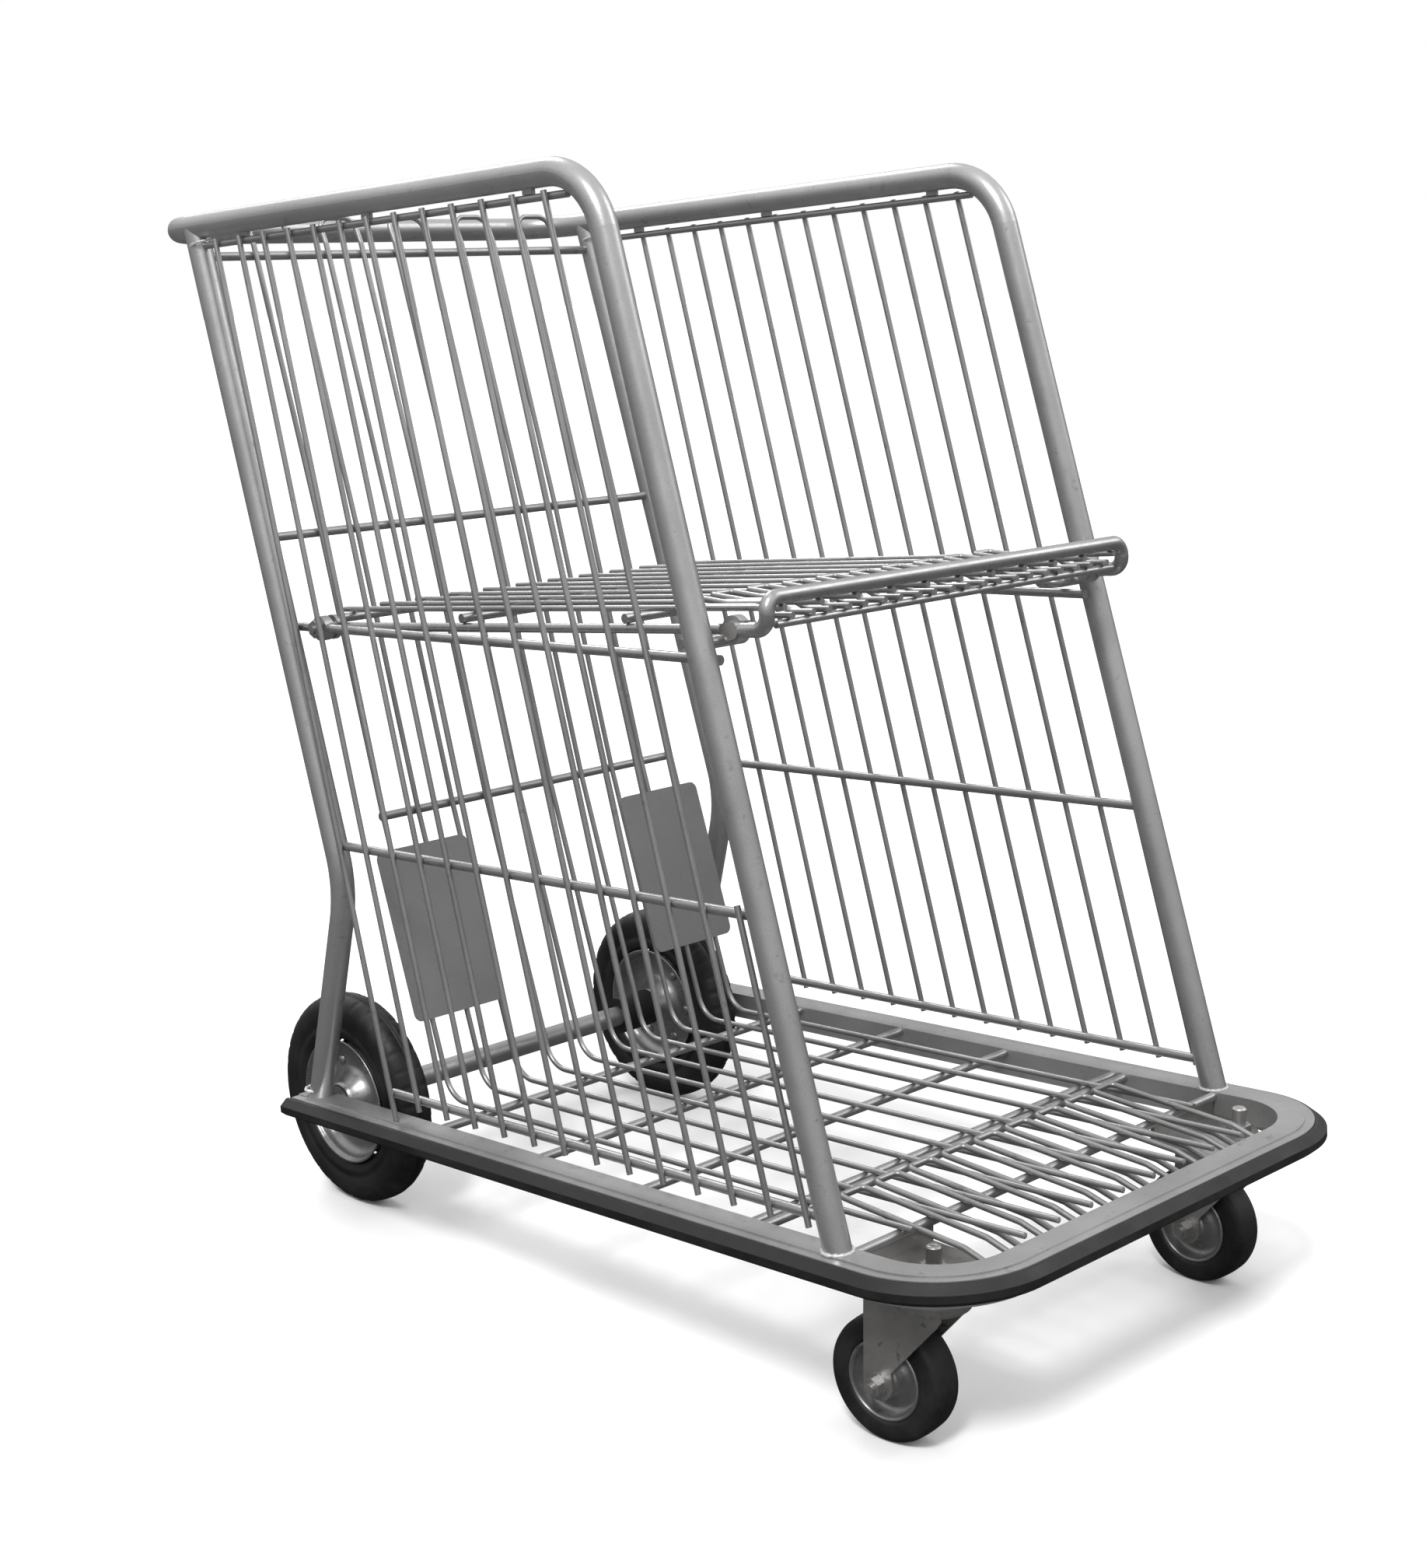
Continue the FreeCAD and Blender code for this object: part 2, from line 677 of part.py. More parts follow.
def caster_bolt_nut(s):
    e, z = caster_trail, caster_wheel_r
    reach = fork_inner + fork_sheet
    nut = hexagon(7.5, 6.8, (-reach - 1.5 - 6.8, e, z), (1, 0, 0))
    washer = rod((-reach - 1.5, e, z), (-reach, e, z), 9.0)
    nut = nut.fuse(washer).cut(rod((-reach - 14, e, z), (0, e, z), bolt_r))
    return place_caster(nut.removeSplitter(), s)


def caster_tread(s):
    r, h = caster_wheel_r, caster_wheel_w / 2.0
    crown = [(h, caster_rim_r), (h, r - 6), (h - 1.5, r - 2.5), (h - 5, r - 0.6), (0, r)]
    profile = crown + [(-x, y) for x, y in crown[::-1]][1:]
    return place_caster(turned_x(profile, (0, caster_trail, caster_wheel_r)), s)


def caster_rim(s):
    """Rim ring, dished web and hub as one pressed wheel centre."""
    h = caster_wheel_w / 2.0
    hub = 11.0
    inner = bolt_r + 3.0
    half = [(fork_inner - side_gap, inner), (fork_inner - side_gap, hub), (4, hub + 6), (3, caster_rim_r - 6),
            (h - 2, caster_rim_r - 3), (h, caster_rim_r - 3), (h, caster_rim_r)]
    profile = half + [(-x, y) for x, y in half[::-1]]
    return place_caster(turned_x(profile, (0, caster_trail, caster_wheel_r)), s)


def caster_bush(s):
    h = fork_inner - side_gap
    profile = [(-h, bolt_r + running_gap), (h, bolt_r + running_gap), (h, bolt_r + 3), (-h, bolt_r + 3)]
    return place_caster(turned_x(profile, (0, caster_trail, caster_wheel_r)), s)


# ------------------------------------------------------------------ shelf
def place_shelf(shape):
    """Pitch a shelf part about its pivot and set it in the basket."""
    moved = shape.copy()
    moved.rotate(V(0, 0, 0), V(1, 0, 0), -shelf_pitch)
    moved.translate(V(0, shelf_pivot_y, shelf_pivot_z))
    return on_floor(moved)


def flat_eye(x, y, z, hole_r):
    """A flattened rod end with a hole, standing in the y-z plane."""
    eye = rod((x - eye_t / 2, y, z), (x + eye_t / 2, y, z), eye_r)
    return eye.cut(rod((x - eye_t, y, z), (x + eye_t, y, z), hole_r))


def shelf_arm(s):
    """A side rod flattened into an eye at both ends."""
    x = s * arm_x
    bar = rod((x, -eye_r - 6, 0), (x, eye_y + eye_r + 6, 0), rod_r)
    necks = [Part.makeBox(eye_t, 14, 2 * rod_r, V(x - eye_t / 2, y, -rod_r)) for y in
             (-eye_r - 8, eye_y + eye_r - 6)]
    arm = bar.fuse([flat_eye(x, 0, 0, bolt_r), flat_eye(x, eye_y, 0, bolt_r)] + necks)
    holes = [rod((x - 9, y, 0), (x + 9, y, 0), bolt_r + running_gap) for y in (0, eye_y)]
    return place_shelf(arm.cut(holes).removeSplitter())


def shelf_front_bar():
    """The thick front bar; its ends turn down and end in flattened eyes outside the arms."""
    x = arm_x + eye_t + 0.2
    pts = [(-x, eye_y - 8, 0), (-x, bar_y, 0), (-x, bar_y, bar_z), (x, bar_y, bar_z), (x, bar_y, 0),
           (x, eye_y - 8, 0)]
    bar = bent_bar(pts, 11, bar_r)
    solids = []
    for s in (1, -1):
        neck = Part.makeBox(eye_t, 18, 10, V(s * x - eye_t / 2, eye_y - 16, -3))
        solids += [flat_eye(s * x, eye_y, 0, bolt_r), neck]
    side = [Part.makeBox(30, 60, 60, V(s * x - 15 - s * (15 + eye_t / 2), eye_y - 12, -30)) for s in (1, -1)]
    bar = bar.cut(side).fuse(solids)
    holes = [rod((s * x - 9, eye_y, 0), (s * x + 9, eye_y, 0), bolt_r) for s in (1, -1)]
    return place_shelf(bar.cut(holes).removeSplitter())


def shelf_rivet(s):
    x = s * arm_x
    out = arm_x + eye_t + 0.2 + eye_t / 2
    shank = rod((x - s * (eye_t / 2), eye_y, 0), (s * out, eye_y, 0), bolt_r)
    heads = [rod((x - s * (eye_t / 2), eye_y, 0), (x - s * (eye_t / 2 + 2.5), eye_y, 0), 7.0),
             rod((s * out, eye_y, 0), (s * (out + 2.5), eye_y, 0), 7.0)]
    return place_shelf(shank.fuse(heads).removeSplitter())


def shelf_wire_z():
    return bar_z - bar_r - wire_r


def shelf_x(i):
    return (i - (shelf_wires_n - 1) / 2.0) * shelf_wire_pitch


def shelf_wires():
    z = shelf_wire_z()
    return [place_shelf(rod((shelf_x(i), shelf_rear_y, z), (shelf_x(i), bar_y - 4, z), wire_r))
            for i in range(shelf_wires_n)]


def shelf_cross_rods():
    """Three rods under the wires, their ends on top of the arms."""
    z = shelf_wire_z() - wire_r - rod_r
    half = arm_x + rod_r
    return [place_shelf(rod((-half, y, z), (half, y, z), rod_r)) for y in shelf_rod_ys]


def shelf_front_rod():
    """A thin rod below the front bar that takes the bent ends of the hairpins."""
    z = shelf_wire_z() - front_rod_drop
    half = shelf_x(shelf_wires_n - 1) + 4
    return place_shelf(rod((-half, bar_y + 3, z), (half, bar_y + 3, z), wire_r + 0.5))


def shelf_hairpins():
    """Hairpins between the wires; their front ends step down onto the thin front rod."""
    z = shelf_wire_z()
    low = z - front_rod_drop + 2 * wire_r + 0.5
    pins = []
    for i in range(shelf_wires_n - 1):
        x = (shelf_x(i) + shelf_x(i + 1)) / 2.0
        leg = [(bar_y - 3, low), (bar_y + 20, low), (bar_y + 34, z), (bar_y + hairpin_length - 38, z),
               (bar_y + hairpin_length, z + 5)]
        pts = [(x - hairpin_half, y, h) for y, h in leg] + [(x + hairpin_half, y, h) for y, h in leg[::-1]]
        pins.append(place_shelf(bent_bar(pts, [10, 10, 20, 5, 5, 20, 10, 10], wire_r)))
    return pins


def shelf_rest_rod(s, tubes):
    """A rod welded along the inner faces of both uprights, with the pivot's boss."""
    z = shelf_pivot_z
    x = s * rest_x
    fall = rest_drop / (shelf_pivot_y - front_y(z))
    ends = [(x, y, z + (y - shelf_pivot_y) * fall) for y in (rear_y(z) + rod_r, front_y(z) - rod_r)]
    bar = rod(ends[0], ends[1], rod_r).cut(tubes)
    boss = rod((x - boss_half, shelf_pivot_y, z), (x + boss_half, shelf_pivot_y, z), eye_r)
    hole = rod((x - 9, shelf_pivot_y, z), (x + 9, shelf_pivot_y, z), bolt_r)
    return on_floor(bar.fuse(boss).cut(hole).removeSplitter())


def shelf_stop(s, tubes):
    """A flat hairpin that reaches inwards from the front upright; the shelf's arm comes down on it."""
    near = front_y(shelf_pivot_z) + 2.0
    far = near + stop_width
    arm_z = shelf_pivot_z + (shelf_pivot_y - far) * math.tan(math.radians(shelf_pitch))
    z = arm_z - 2 * rod_r - 0.5
    out = side_x(z) - 2
    inner = side_x(z) - stop_reach
    pts = [(s * out, near, z), (s * inner, near, z), (s * inner, far, z), (s * out, far, z)]
    return on_floor(bent_bar(pts, stop_width / 2.0 - 0.5, rod_r).cut(tubes))


def pivot_rod(s, near, far, radius):
    """A bar on the shelf's pivot line between two distances from the middle plane."""
    y, z = shelf_pivot_y, shelf_pivot_z
    return rod((s * near, y, z), (s * far, y, z), radius)


def pivot_bolt(s):
    """Shelf pivot: head inside the arm's eye, nut outside the rest rod."""
    x0, x1 = arm_x - eye_t / 2 - 0.3, rest_x + boss_half
    shank = pivot_rod(s, x0, x1 + 9, bolt_r)
    head = pivot_rod(s, x0 - 4.2, x0, 7.5)
    return on_floor(shank.fuse(head).removeSplitter())


def pivot_nut(s):
    x1 = rest_x + boss_half
    nut = hexagon(8.1, 6.5, (s * x1, shelf_pivot_y, shelf_pivot_z), (s, 0, 0))
    return on_floor(nut.cut(pivot_rod(s, x1 - 1, x1 + 9, bolt_r)))


def pivot_spacer(s):
    """A ring between the arm's eye and the rest rod's boss."""
    near, far = arm_x + eye_t / 2 + 0.4, rest_x - boss_half
    return on_floor(pivot_rod(s, near, far, 7.0).cut(pivot_rod(s, near - 1, far + 1, bolt_r)))


# ------------------------------------------------------------------ build
def build_frame():
    rail = main_tube()
    uprights = {name: rear_upright(s) for name, s in SIDES.items()}
    tubes = rail.fuse(list(uprights.values()))
    save("main_tube", on_floor(rail))
    save("base_channel", on_floor(base_channel()))
    save("bumper_strip", on_floor(bumper_strip()))
    tabs = []
    strips = []
    for name, s in SIDES.items():
        save("rear_upright_" + name, on_floor(uprights[name]))
        save("side_wires_" + name, *[on_floor(w) for w in side_wires(s)])
        save("side_rods_" + name, *[on_floor(r) for r in side_rods(s, tubes)])
        strips.append(on_floor(top_strip(s, tubes)))
        tabs += [on_floor(t) for t in strip_tabs(s, rail)]
    save("top_strips", *strips)
    save("strip_tabs", *tabs)
    save("back_cross_rods", *[on_floor(r) for r in back_cross_rods(tubes)])
    save("back_wires", *[on_floor(w) for w in back_wires()])
    save("floor_wires", *[on_floor(w) for w in floor_wires()])
    save("floor_cross_rods", *[on_floor(r) for r in floor_cross_rods()])
    save("floor_fingers", *[on_floor(f) for f in floor_fingers()])
    save("back_plates", *[on_floor(back_plate(s)) for s in (1, -1)])
    save("shelf_rest_rods", *[shelf_rest_rod(s, tubes) for s in (1, -1)])
    save("shelf_stops", *[shelf_stop(s, tubes) for s in (1, -1)])


def build_rear_axle():
    inner = rear_wheel_x - hub_half - 1 - side_gap
    outer = rear_wheel_x + hub_half + 1 + side_gap
    web_x = track / 2.0 - tube_r
    save("axle_tube", on_floor(axle_tube()))
    save("axle_sleeves", *[on_floor(axle_ring(s, inner - sleeve_length, inner, sleeve_r)) for s in (1, -1)])
    save("axle_washers", *[on_floor(axle_ring(s, outer, web_x, hub_r)) for s in (1, -1)])
    y, z = floor_point(0, axle_y, axle_centre())[1:]
    for name, s in SIDES.items():
        c = (s * rear_wheel_x, y, z)
        save("rear_tyre_" + name, rear_tyre(c))
        save("rear_rim_outer_" + name, rear_rim_half(c, s).cut(rear_rivets(c)))
        save("rear_rim_inner_" + name, rear_rim_half(c, -s).cut(rear_rivets(c)))
        save("rear_rivets_" + name, *rear_rivets(c))
        save("rear_bush_" + name, rear_bush(c))


def build_casters():
    for node, make in (("caster_plates", caster_plate), ("caster_studs", caster_stud),
                       ("caster_nuts", caster_nut), ("caster_washers", caster_washer),
                       ("swivel_races", top_race), ("swivel_balls", swivel_balls)):
        save(node, *[make(s) for s in (1, -1)])
    for name, s in SIDES.items():
        for node, make in (("caster_fork_", caster_fork), ("caster_bolt_", caster_bolt),
                           ("caster_bolt_nut_", caster_bolt_nut), ("caster_tread_", caster_tread),
                           ("caster_rim_", caster_rim), ("caster_bush_", caster_bush)):
            save(node + name, make(s))


def build_shelf():
    save("shelf_front_bar", shelf_front_bar())
    save("shelf_arms", *[shelf_arm(s) for s in (1, -1)])
    save("shelf_rivets", *[shelf_rivet(s) for s in (1, -1)])
    save("shelf_wires", *shelf_wires())
    save("shelf_cross_rods", *shelf_cross_rods())
    save("shelf_front_rod", shelf_front_rod())
    save("shelf_hairpins", *shelf_hairpins())
    save("pivot_bolts", *[pivot_bolt(s) for s in (1, -1)])
    save("pivot_nuts", *[pivot_nut(s) for s in (1, -1)])
    save("pivot_spacers", *[pivot_spacer(s) for s in (1, -1)])


os.makedirs("parts", exist_ok=True)
build_frame()
build_rear_axle()
build_casters()
build_shelf()
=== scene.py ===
import json
import math
import random

import bmesh
import bpy
from mathutils import Euler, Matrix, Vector


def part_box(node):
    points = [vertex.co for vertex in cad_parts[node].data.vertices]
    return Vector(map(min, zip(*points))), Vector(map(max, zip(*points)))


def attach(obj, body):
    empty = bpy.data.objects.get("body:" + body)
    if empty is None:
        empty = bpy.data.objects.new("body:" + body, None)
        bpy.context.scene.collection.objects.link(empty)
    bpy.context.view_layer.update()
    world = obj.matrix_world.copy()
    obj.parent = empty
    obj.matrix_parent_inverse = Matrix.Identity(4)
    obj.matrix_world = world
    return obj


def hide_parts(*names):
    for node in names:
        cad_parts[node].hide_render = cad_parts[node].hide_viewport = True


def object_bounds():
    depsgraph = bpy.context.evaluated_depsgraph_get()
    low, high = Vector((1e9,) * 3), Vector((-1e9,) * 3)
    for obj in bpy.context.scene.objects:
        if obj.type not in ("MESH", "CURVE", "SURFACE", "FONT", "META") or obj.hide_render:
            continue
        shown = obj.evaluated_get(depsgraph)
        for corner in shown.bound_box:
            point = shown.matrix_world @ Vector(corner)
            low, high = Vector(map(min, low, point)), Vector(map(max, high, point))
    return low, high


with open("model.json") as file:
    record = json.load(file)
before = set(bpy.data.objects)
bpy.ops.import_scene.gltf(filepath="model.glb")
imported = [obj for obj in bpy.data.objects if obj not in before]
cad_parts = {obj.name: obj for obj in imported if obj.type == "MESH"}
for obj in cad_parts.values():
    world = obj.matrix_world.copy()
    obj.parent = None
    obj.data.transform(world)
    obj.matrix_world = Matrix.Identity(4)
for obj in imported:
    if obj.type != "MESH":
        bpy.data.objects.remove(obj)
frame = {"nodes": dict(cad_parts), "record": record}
cad_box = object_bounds()

MM = 0.001
DECK_TILT = 3.6          # degrees, the deck falls towards the rear
FOOT_HEIGHT = 155.2 * MM  # front weld above the floor
TUBE_R = 11.0 * MM
SIDES = ("left", "right")
HAND = {"left": 1.0, "right": -1.0}
JOINTS = {j["name"]: j for j in frame["record"]["behaviour"]["joints"]}


def centre_of(node):
    low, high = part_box(node)
    return (Vector(low) + Vector(high)) / 2.0


def size_of(node):
    low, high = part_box(node)
    return Vector(high) - Vector(low)


# ------------------------------------------------------------------ node groups
def socket(group, name, direction, kind, value=None):
    s = group.interface.new_socket(name=name, in_out=direction, socket_type=kind)
    if value is not None:
        s.default_value = value
    return s


def mix_colour(tree, factor, a, b, blend="MIX"):
    node = tree.nodes.new("ShaderNodeMix")
    node.data_type = "RGBA"
    node.blend_type = blend
    for spot, source in ((0, factor), (6, a), (7, b)):
        if isinstance(source, bpy.types.NodeSocket):
            tree.links.new(source, node.inputs[spot])
        else:
            node.inputs[spot].default_value = source
    return node.outputs[2]


def spread(tree, source, low, high, to_low=0.0, to_high=1.0):
    node = tree.nodes.new("ShaderNodeMapRange")
    tree.links.new(source, node.inputs[0])
    for spot, value in zip((1, 2, 3, 4), (low, high, to_low, to_high)):
        if isinstance(value, bpy.types.NodeSocket):
            tree.links.new(value, node.inputs[spot])
        else:
            node.inputs[spot].default_value = value
    return node.outputs[0]


def maths(tree, operation, a, b):
    node = tree.nodes.new("ShaderNodeMath")
    node.operation = operation
    for spot, source in enumerate((a, b)):
        if isinstance(source, bpy.types.NodeSocket):
            tree.links.new(source, node.inputs[spot])
        else:
            node.inputs[spot].default_value = source
    return node.outputs[0]


def noise(tree, place, scale, detail=4.0, roughness=0.55):
    node = tree.nodes.new("ShaderNodeTexNoise")
    tree.links.new(place, node.inputs["Vector"])
    if isinstance(scale, bpy.types.NodeSocket):
        tree.links.new(scale, node.inputs["Scale"])
    else:
        node.inputs["Scale"].default_value = scale
    node.inputs["Detail"].default_value = detail
    node.inputs["Roughness"].default_value = roughness
    return node.outputs["Fac"]


def worn_metal_group():
    """Paint or plating: cloudy tone, fine grain, dark scuffs, small chips."""
    g = bpy.data.node_groups.new("worn_metal", "ShaderNodeTree")
    socket(g, "Tone", "INPUT", "NodeSocketColor", (0.5, 0.5, 0.5, 1))
    socket(g, "Scuff Tone", "INPUT", "NodeSocketColor", (0.2, 0.2, 0.2, 1))
    socket(g, "Cloud", "INPUT", "NodeSocketFloat", 0.15)
    socket(g, "Wear", "INPUT", "NodeSocketFloat", 0.3)
    socket(g, "Gloss Low", "INPUT", "NodeSocketFloat", 0.3)
    socket(g, "Gloss High", "INPUT", "NodeSocketFloat", 0.5)
    for name, kind in (("Color", "NodeSocketColor"), ("Roughness", "NodeSocketFloat"),
                       ("Height", "NodeSocketFloat")):
        socket(g, name, "OUTPUT", kind)
    enter = g.nodes.new("NodeGroupInput")
    leave = g.nodes.new("NodeGroupOutput")
    place = g.nodes.new("ShaderNodeTexCoord").outputs["Object"]
    cloud = noise(g, place, 9.0, 5.0)
    grain = noise(g, place, 900.0, 2.0)
    streak = noise(g, place, 70.0, 6.0, 0.7)
    shade = spread(g, cloud, 0.3, 0.7, -1.0, 1.0)
    shade = maths(g, "MULTIPLY", shade, enter.outputs["Cloud"])
    shade = maths(g, "ADD", shade, 1.0)
    lit = g.nodes.new("ShaderNodeVectorMath")
    lit.operation = "SCALE"
    g.links.new(enter.outputs["Tone"], lit.inputs[0])
    g.links.new(shade, lit.inputs["Scale"])
    mask = spread(g, streak, 0.60, 0.72)
    mask = maths(g, "MULTIPLY", mask, enter.outputs["Wear"])
    colour = mix_colour(g, mask, lit.outputs[0], enter.outputs["Scuff Tone"])
    speck = spread(g, grain, 0.35, 0.65, 0.94, 1.05)
    final = g.nodes.new("ShaderNodeVectorMath")
    final.operation = "SCALE"
    g.links.new(colour, final.inputs[0])
    g.links.new(speck, final.inputs["Scale"])
    gloss = spread(g, streak, 0.3, 0.7, enter.outputs["Gloss Low"], enter.outputs["Gloss High"])
    height = maths(g, "ADD", maths(g, "MULTIPLY", grain, 0.4), maths(g, "MULTIPLY", mask, -0.8))
    g.links.new(final.outputs[0], leave.inputs["Color"])
    g.links.new(gloss, leave.inputs["Roughness"])
    g.links.new(height, leave.inputs["Height"])
    return g


def dusty_rubber_group():
    """Moulded rubber: near black, a little grey dust, fine pores."""
    g = bpy.data.node_groups.new("dusty_rubber", "ShaderNodeTree")
    socket(g, "Tone", "INPUT", "NodeSocketColor", (0.02, 0.02, 0.02, 1))
    socket(g, "Dust Tone", "INPUT", "NodeSocketColor", (0.12, 0.12, 0.12, 1))
    socket(g, "Dust", "INPUT", "NodeSocketFloat", 0.5)
    for name, kind in (("Color", "NodeSocketColor"), ("Roughness", "NodeSocketFloat"),
                       ("Height", "NodeSocketFloat")):
        socket(g, name, "OUTPUT", kind)
    enter = g.nodes.new("NodeGroupInput")
    leave = g.nodes.new("NodeGroupOutput")
    place = g.nodes.new("ShaderNodeTexCoord").outputs["Object"]
    patch = noise(g, place, 22.0, 6.0, 0.65)
    pores = noise(g, place, 1200.0, 2.0)
    mask = maths(g, "MULTIPLY", spread(g, patch, 0.45, 0.75), enter.outputs["Dust"])
    colour = mix_colour(g, mask, enter.outputs["Tone"], enter.outputs["Dust Tone"])
    g.links.new(colour, leave.inputs["Color"])
    g.links.new(spread(g, patch, 0.3, 0.7, 0.45, 0.75), leave.inputs["Roughness"])
    g.links.new(pores, leave.inputs["Height"])
    return g


WORN_METAL = worn_metal_group()
DUSTY_RUBBER = dusty_rubber_group()


def grouped_material(name, group, values, metallic, bump, coat=0.0):
    mat = bpy.data.materials.new(name)
    mat.use_nodes = True
    tree = mat.node_tree
    shader = tree.nodes["Principled BSDF"]
    finish = tree.nodes.new("ShaderNodeGroup")
    finish.node_tree = group
    for key, value in values.items():
        finish.inputs[key].default_value = value
    tree.links.new(finish.outputs["Color"], shader.inputs["Base Color"])
    tree.links.new(finish.outputs["Roughness"], shader.inputs["Roughness"])
    dents = tree.nodes.new("ShaderNodeBump")
    dents.inputs["Strength"].default_value = bump
    dents.inputs["Distance"].default_value = 0.0004
    tree.links.new(finish.outputs["Height"], dents.inputs["Height"])
    tree.links.new(dents.outputs["Normal"], shader.inputs["Normal"])
    shader.inputs["Metallic"].default_value = metallic
    shader.inputs["Coat Weight"].default_value = coat
    return mat


def grey(v, warm=0.0):
    return (v * (1 + warm), v, v * (1 - warm), 1.0)


def metal(name, tone, scuff, cloud, wear, gloss, metallic, bump=0.25, coat=0.0):
    values = {"Tone": tone, "Scuff Tone": scuff, "Cloud": cloud, "Wear": wear,
              "Gloss Low": gloss[0], "Gloss High": gloss[1]}
    return grouped_material(name, WORN_METAL, values, metallic, bump, coat)


def rubber(name, tone, dust_tone, dust, bump=0.4):
    values = {"Tone": tone, "Dust Tone": dust_tone, "Dust": dust}
    return grouped_material(name, DUSTY_RUBBER, values, 0.0, bump)


MATS = {
    "tube_paint": metal("silver_tube", grey(0.42), grey(0.12), 0.12, 0.5, (0.26, 0.40), 0.8, 0.25),
    "wire_paint": metal("silver_wire", grey(0.31), grey(0.08), 0.16, 0.5, (0.28, 0.44), 0.8),
    "shelf_wire": metal("bright_wire", grey(0.38), grey(0.1), 0.16, 0.45, (0.22, 0.38), 0.85),
    "channel_paint": metal("silver_channel", grey(0.37), grey(0.1), 0.16, 0.55, (0.28, 0.44), 0.7),
    "plate_paint": metal("grey_plate", grey(0.17), grey(0.08), 0.08, 0.3, (0.4, 0.55), 0.3),
    "zinc": metal("zinc_plate", grey(0.36, 0.02), grey(0.07, 0.05), 0.3, 0.9, (0.24, 0.5), 0.85, 0.5),
    "rim_zinc": metal("rim_plate", grey(0.30), grey(0.06, 0.04), 0.3, 0.9, (0.22, 0.5), 0.85, 0.4),
    "bumper_rubber": rubber("bumper_rubber", grey(0.004), grey(0.012), 0.6),
    "tyre_rubber": rubber("tyre_rubber", grey(0.004), grey(0.014), 0.7),
    "tread_rubber": rubber("tread_rubber", grey(0.004), grey(0.016), 0.8),
    "black_plastic": rubber("black_plastic", grey(0.005), grey(0.012), 0.3, 0.2),
}
WELD = metal("weld_metal", grey(0.55, 0.01), grey(0.18), 0.35, 0.6, (0.3, 0.55), 0.5, 0.8)


# ------------------------------------------------------------------ mesh helpers
def add_piece(name, mesh_builder, mat, body, smooth=True):
    """Make one mesh object from a bmesh and let it ride on a body."""
    mesh = bpy.data.meshes.new(name)
    mesh_builder.to_mesh(mesh)
    mesh_builder.free()
    mesh.materials.append(mat)
    for face in mesh.polygons:
        face.use_smooth = smooth
    piece = bpy.data.objects.new(name, mesh)
    bpy.context.scene.collection.objects.link(piece)
    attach(piece, body)
    return piece


def soften(obj, width, segments=2, angle=35.0):
    """Round the hard edges of a piece a little."""
    bevel = obj.modifiers.new("soft_edges", "BEVEL")
    bevel.width = width
    bevel.segments = segments
    bevel.limit_method = "ANGLE"
    bevel.angle_limit = math.radians(angle)
    bevel.harden_normals = False


def lathe(bm, profile, origin, axis, steps=96, ripple=None):
    """Turn a closed list of (along, radius) about axis through origin.

    ripple(angle, along, radius) may return a change of radius."""
    turn = Vector(axis).to_track_quat("Z", "Y").to_matrix()
    rings = []
    for i in range(steps):
        a = 2.0 * math.pi * i / steps
        ring = []
        for along, radius in profile:
            r = radius + (ripple(a, along, radius) if ripple else 0.0)
            spot = turn @ Vector((r * math.cos(a), r * math.sin(a), along))
            ring.append(bm.verts.new(Vector(origin) + spot))
        rings.append(ring)
    n = len(profile)
    for i in range(steps):
        here, there = rings[i], rings[(i + 1) % steps]
        for k in range(n):
            bm.faces.new((here[k], here[(k + 1) % n], there[(k + 1) % n], there[k]))


def dome(bm, base, axis, radius, height, steps=14, rings=5):
    """A closed low dome, such as a rivet head."""
    turn = Vector(axis).to_track_quat("Z", "Y").to_matrix()
    layers = []
    for j in range(rings):
        t = math.pi / 2 * j / rings
        r, h = radius * math.cos(t), height * math.sin(t)
        angles = [2 * math.pi * i / steps for i in range(steps)]
        layers.append([bm.verts.new(Vector(base) + turn @ Vector((r * math.cos(a), r * math.sin(a), h)))
                       for a in angles])
    tip = bm.verts.new(Vector(base) + turn @ Vector((0, 0, height)))
    for low, high in zip(layers, layers[1:]):
        for i in range(steps):
            k = (i + 1) % steps
            bm.faces.new((low[i], low[k], high[k], high[i]))
    for i in range(steps):
        bm.faces.new((layers[-1][i], layers[-1][(i + 1) % steps], tip))
    bm.faces.new(layers[0][::-1])


def weld_bead(bm, centre, axis, radius, thickness, rng, start=0.0, sweep=2 * math.pi, steps=44):
    """An uneven roll of weld round a tube or rod, open or closed."""
    turn = Vector(axis).to_track_quat("Z", "Y").to_matrix()
    around = 8
    closed = sweep > 6.2
    rings = []
    for i in range(steps):
        a = start + sweep * i / (steps if closed else steps - 1)
        fade = 1.0 if closed else max(0.25, math.sin(math.pi * i / (steps - 1)) ** 0.4)
        lump = 0.28 * math.sin(i * 1.9) * rng.uniform(0.5, 1.0)
        fat = thickness * fade * (0.85 + lump + rng.uniform(-0.1, 0.1))
        ring = []
        for k in range(around):
            b = 2 * math.pi * k / around
            r = radius + fat * math.cos(b)
            spot = Vector((r * math.cos(a), r * math.sin(a), fat * 0.8 * math.sin(b)))
            ring.append(bm.verts.new(Vector(centre) + turn @ spot))
        rings.append(ring)
    pairs = list(zip(rings, rings[1:])) + ([(rings[-1], rings[0])] if closed else [])
    for here, there in pairs:
        for k in range(around):
            n = (k + 1) % around
            bm.faces.new((here[k], here[n], there[n], there[k]))
    if not closed:
        bm.faces.new(rings[0][::-1])
        bm.faces.new(rings[-1])


# ------------------------------------------------------------------ finishes on the CAD pieces
SLOTS = {s["node"]: s["material_slot"] for s in frame["record"]["subparts"]}
for node, obj in frame["nodes"].items():
    obj.data.materials.clear()
    obj.data.materials.append(MATS[SLOTS[node]])

